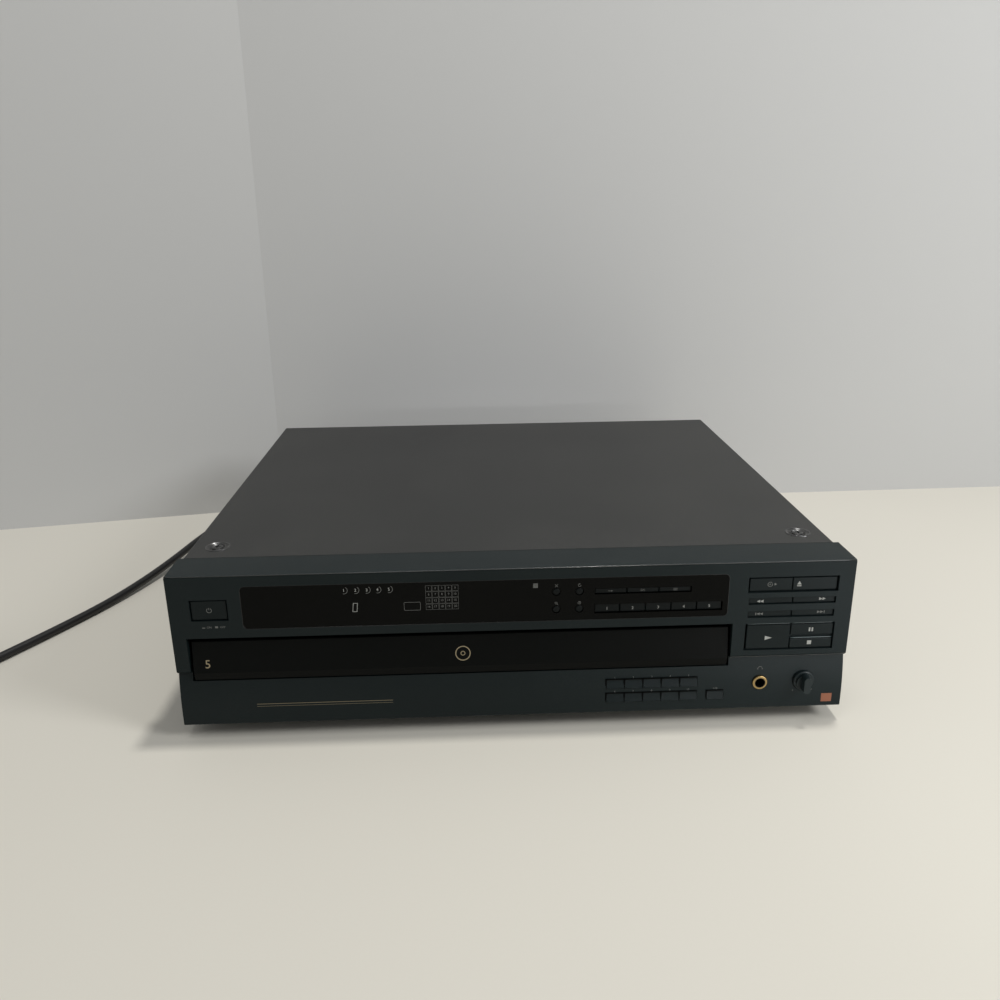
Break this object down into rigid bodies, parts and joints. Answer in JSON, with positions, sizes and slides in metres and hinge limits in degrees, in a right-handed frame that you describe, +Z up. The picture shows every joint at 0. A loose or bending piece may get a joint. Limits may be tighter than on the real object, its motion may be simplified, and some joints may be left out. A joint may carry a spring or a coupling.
{
  "type": "multi disc cd changer",
  "caption": "Full-width hi-fi disc changer with a sliding carousel tray, smoked display window, rows of push keys, a level knob and a mains cord.",
  "frame": {"origin": "on the surface it stands on, under the middle of the box round the unit without its mains cord", "axes": "+X to the right facing the unit, +Y towards its back, +Z up; the front panel faces -Y"},
  "size_m": [0.7095, 0.4592, 0.1159],
  "materials": {
    "panel_black": "satin black moulded front",
    "smoked_window": "smoked acrylic",
    "circuit_board": "paper board with solder mask",
    "gold_ring": "gold plated",
    "cover_black": "fine-textured black paint",
    "chassis_steel": "zinc-plated sheet",
    "rear_black": "black paint",
    "socket_metal": "plated sockets",
    "cord_black": "soft black sheath",
    "foot_rubber": "black feet with felt ring",
    "screw_black": "black oxide",
    "transformer_core": "varnished laminations",
    "base_plastic": "black moulding",
    "bridge_steel": "plated sheet",
    "tray_plastic": "black moulding",
    "tray_front_black": "satin black",
    "gear_plastic": "natural acetal",
    "turntable_black": "black with rubber ring",
    "sled_metal": "cast",
    "clamper_white": "acetal",
    "key_black": "satin black",
    "white_print": "pale screen ink on the panel, the keys and the carousel",
    "gold_print": "gold screen ink and foil"
  },
  "bodies": {
    "cabinet": {"front_panel": "panel_black", "display_window": "smoked_window", "circuit_boards": "circuit_board", "phones_jack": "gold_ring", "top_cover": "cover_black", "chassis": "chassis_steel", "rear_panel": "rear_black", "rear_sockets": "socket_metal", "cord_bush": "cord_black", "feet": "foot_rubber", "case_screws": "screw_black", "power_transformer": "transformer_core", "loading_base": "base_plastic", "clamp_bridge": "bridge_steel", "mains_cord": "cord_black", "cord_coil": "cord_black", "mains_plug": "cord_black"},
    "tray": {"tray": "tray_plastic", "tray_front": "tray_front_black"},
    "carousel": {"carousel": "tray_plastic"},
    "carousel_pinion": {"carousel_pinion": "gear_plastic"},
    "loading_pinion": {"loading_pinion": "gear_plastic"},
    "pickup_lift": {"lift_frame": "bridge_steel"},
    "turntable": {"turntable": "turntable_black"},
    "pickup_sled": {"pickup_sled": "sled_metal"},
    "clamper": {"clamper": "clamper_white"},
    "level_knob": {"level_knob": "key_black"},
    "power_button": {"power_button": "key_black"},
    "open_close_key": {"open_close_key": "key_black"},
    "disc_skip_key": {"disc_skip_key": "key_black"},
    "play_key": {"play_key": "key_black"},
    "pause_key": {"pause_key": "key_black"},
    "stop_key": {"stop_key": "key_black"},
    "search_back_key": {"search_back_key": "key_black"},
    "search_forward_key": {"search_forward_key": "key_black"},
    "previous_key": {"previous_key": "key_black"},
    "next_key": {"next_key": "key_black"},
    "disc_1_key": {"disc_1_key": "key_black"},
    "disc_2_key": {"disc_2_key": "key_black"},
    "disc_3_key": {"disc_3_key": "key_black"},
    "disc_4_key": {"disc_4_key": "key_black"},
    "disc_5_key": {"disc_5_key": "key_black"},
    "continue_key": {"continue_key": "key_black"},
    "shuffle_key": {"shuffle_key": "key_black"},
    "program_key": {"program_key": "key_black"},
    "edit_key": {"edit_key": "key_black"},
    "repeat_key": {"repeat_key": "key_black"},
    "search_key": {"search_key": "key_black"},
    "time_key": {"time_key": "key_black"},
    "number_1_key": {"number_1_key": "key_black"},
    "number_2_key": {"number_2_key": "key_black"},
    "number_3_key": {"number_3_key": "key_black"},
    "number_4_key": {"number_4_key": "key_black"},
    "number_5_key": {"number_5_key": "key_black"},
    "number_6_key": {"number_6_key": "key_black"},
    "number_7_key": {"number_7_key": "key_black"},
    "number_8_key": {"number_8_key": "key_black"},
    "number_9_key": {"number_9_key": "key_black"},
    "number_10_key": {"number_10_key": "key_black"},
    "over_ten_key": {"over_ten_key": "key_black"}
  },
  "joints": [
    {"name": "tray_slide", "type": "slide", "parent": "cabinet", "child": "tray", "axis": [0, -1, 0], "range_m": [0, 0.225]},
    {"name": "carousel_spin", "type": "hinge", "parent": "tray", "child": "carousel", "pos_m": [-0.03345, -0.00855, 0.0555], "axis": [0, 0, 1], "continuous": true},
    {"name": "pickup_lift", "type": "hinge", "parent": "cabinet", "child": "pickup_lift", "pos_m": [-0.05, -0.00855, 0.0415], "axis": [0, -1, 0], "range_deg": [0, 7]},
    {"name": "level_turn", "type": "hinge", "parent": "cabinet", "child": "level_knob", "pos_m": [0.189, -0.18855, 0.0303], "axis": [0, 1, 0], "range_deg": [-150, 150]},
    {"name": "turntable_spin", "type": "hinge", "parent": "pickup_lift", "child": "turntable", "pos_m": [0.07114, -0.00855, 0.02663], "axis": [0.1219, 0, 0.9925], "continuous": true},
    {"name": "clamper_spin", "type": "hinge", "parent": "cabinet", "child": "clamper", "pos_m": [0.07205, -0.00855, 0.0655], "axis": [0, 0, 1], "continuous": true},
    {"name": "sled_slide", "type": "slide", "parent": "pickup_lift", "child": "pickup_sled", "axis": [0.9925, 0, -0.1219], "range_m": [0, 0.032]},
    {"name": "carousel_pinion_spin", "type": "hinge", "parent": "tray", "child": "carousel_pinion", "pos_m": [-0.07163, -0.04673, 0.0505], "axis": [0, 0, 1], "continuous": true},
    {"name": "loading_pinion_spin", "type": "hinge", "parent": "cabinet", "child": "loading_pinion", "pos_m": [-0.15845, -0.15855, 0.0435], "axis": [0, 0, 1], "range_deg": [-5, 925]},
    {"name": "power_button_press", "type": "slide", "parent": "cabinet", "child": "power_button", "axis": [0, 1, 0], "range_m": [0, 0.003], "stiffness_N_per_m": 150},
    {"name": "open_close_press", "type": "slide", "parent": "cabinet", "child": "open_close_key", "axis": [0, 1, 0], "range_m": [0, 0.0006], "stiffness_N_per_m": 400},
    {"name": "disc_skip_press", "type": "slide", "parent": "cabinet", "child": "disc_skip_key", "axis": [0, 1, 0], "range_m": [0, 0.0006], "stiffness_N_per_m": 400},
    {"name": "play_press", "type": "slide", "parent": "cabinet", "child": "play_key", "axis": [0, 1, 0], "range_m": [0, 0.0006], "stiffness_N_per_m": 400},
    {"name": "pause_press", "type": "slide", "parent": "cabinet", "child": "pause_key", "axis": [0, 1, 0], "range_m": [0, 0.0006], "stiffness_N_per_m": 400},
    {"name": "stop_press", "type": "slide", "parent": "cabinet", "child": "stop_key", "axis": [0, 1, 0], "range_m": [0, 0.0006], "stiffness_N_per_m": 400},
    {"name": "search_back_press", "type": "slide", "parent": "cabinet", "child": "search_back_key", "axis": [0, 1, 0], "range_m": [0, 0.0006], "stiffness_N_per_m": 400},
    {"name": "search_forward_press", "type": "slide", "parent": "cabinet", "child": "search_forward_key", "axis": [0, 1, 0], "range_m": [0, 0.0006], "stiffness_N_per_m": 400},
    {"name": "previous_press", "type": "slide", "parent": "cabinet", "child": "previous_key", "axis": [0, 1, 0], "range_m": [0, 0.0006], "stiffness_N_per_m": 400},
    {"name": "next_press", "type": "slide", "parent": "cabinet", "child": "next_key", "axis": [0, 1, 0], "range_m": [0, 0.0006], "stiffness_N_per_m": 400},
    {"name": "disc_1_press", "type": "slide", "parent": "cabinet", "child": "disc_1_key", "axis": [0, 1, 0], "range_m": [0, 0.0006], "stiffness_N_per_m": 400},
    {"name": "disc_2_press", "type": "slide", "parent": "cabinet", "child": "disc_2_key", "axis": [0, 1, 0], "range_m": [0, 0.0006], "stiffness_N_per_m": 400},
    {"name": "disc_3_press", "type": "slide", "parent": "cabinet", "child": "disc_3_key", "axis": [0, 1, 0], "range_m": [0, 0.0006], "stiffness_N_per_m": 400},
    {"name": "disc_4_press", "type": "slide", "parent": "cabinet", "child": "disc_4_key", "axis": [0, 1, 0], "range_m": [0, 0.0006], "stiffness_N_per_m": 400},
    {"name": "disc_5_press", "type": "slide", "parent": "cabinet", "child": "disc_5_key", "axis": [0, 1, 0], "range_m": [0, 0.0006], "stiffness_N_per_m": 400},
    {"name": "continue_press", "type": "slide", "parent": "cabinet", "child": "continue_key", "axis": [0, 1, 0], "range_m": [0, 0.0006], "stiffness_N_per_m": 400},
    {"name": "shuffle_press", "type": "slide", "parent": "cabinet", "child": "shuffle_key", "axis": [0, 1, 0], "range_m": [0, 0.0006], "stiffness_N_per_m": 400},
    {"name": "program_press", "type": "slide", "parent": "cabinet", "child": "program_key", "axis": [0, 1, 0], "range_m": [0, 0.0006], "stiffness_N_per_m": 400},
    {"name": "edit_press", "type": "slide", "parent": "cabinet", "child": "edit_key", "axis": [0, 1, 0], "range_m": [0, 0.0006], "stiffness_N_per_m": 400},
    {"name": "repeat_press", "type": "slide", "parent": "cabinet", "child": "repeat_key", "axis": [0, 1, 0], "range_m": [0, 0.0006], "stiffness_N_per_m": 400},
    {"name": "search_press", "type": "slide", "parent": "cabinet", "child": "search_key", "axis": [0, 1, 0], "range_m": [0, 0.0006], "stiffness_N_per_m": 400},
    {"name": "time_press", "type": "slide", "parent": "cabinet", "child": "time_key", "axis": [0, 1, 0], "range_m": [0, 0.0006], "stiffness_N_per_m": 400},
    {"name": "number_1_press", "type": "slide", "parent": "cabinet", "child": "number_1_key", "axis": [0, 1, 0], "range_m": [0, 0.0006], "stiffness_N_per_m": 400},
    {"name": "number_2_press", "type": "slide", "parent": "cabinet", "child": "number_2_key", "axis": [0, 1, 0], "range_m": [0, 0.0006], "stiffness_N_per_m": 400},
    {"name": "number_3_press", "type": "slide", "parent": "cabinet", "child": "number_3_key", "axis": [0, 1, 0], "range_m": [0, 0.0006], "stiffness_N_per_m": 400},
    {"name": "number_4_press", "type": "slide", "parent": "cabinet", "child": "number_4_key", "axis": [0, 1, 0], "range_m": [0, 0.0006], "stiffness_N_per_m": 400},
    {"name": "number_5_press", "type": "slide", "parent": "cabinet", "child": "number_5_key", "axis": [0, 1, 0], "range_m": [0, 0.0006], "stiffness_N_per_m": 400},
    {"name": "number_6_press", "type": "slide", "parent": "cabinet", "child": "number_6_key", "axis": [0, 1, 0], "range_m": [0, 0.0006], "stiffness_N_per_m": 400},
    {"name": "number_7_press", "type": "slide", "parent": "cabinet", "child": "number_7_key", "axis": [0, 1, 0], "range_m": [0, 0.0006], "stiffness_N_per_m": 400},
    {"name": "number_8_press", "type": "slide", "parent": "cabinet", "child": "number_8_key", "axis": [0, 1, 0], "range_m": [0, 0.0006], "stiffness_N_per_m": 400},
    {"name": "number_9_press", "type": "slide", "parent": "cabinet", "child": "number_9_key", "axis": [0, 1, 0], "range_m": [0, 0.0006], "stiffness_N_per_m": 400},
    {"name": "number_10_press", "type": "slide", "parent": "cabinet", "child": "number_10_key", "axis": [0, 1, 0], "range_m": [0, 0.0006], "stiffness_N_per_m": 400},
    {"name": "over_ten_press", "type": "slide", "parent": "cabinet", "child": "over_ten_key", "axis": [0, 1, 0], "range_m": [0, 0.0006], "stiffness_N_per_m": 400}
  ],
  "couplings": [
    {"joint": "carousel_pinion_spin", "follows": "carousel_spin", "ratio": -2.8571},
    {"joint": "loading_pinion_spin", "follows": "tray_slide", "rad_per_m": 71.429},
    {"joint": "clamper_spin", "follows": "turntable_spin", "ratio": 1}
  ]
}
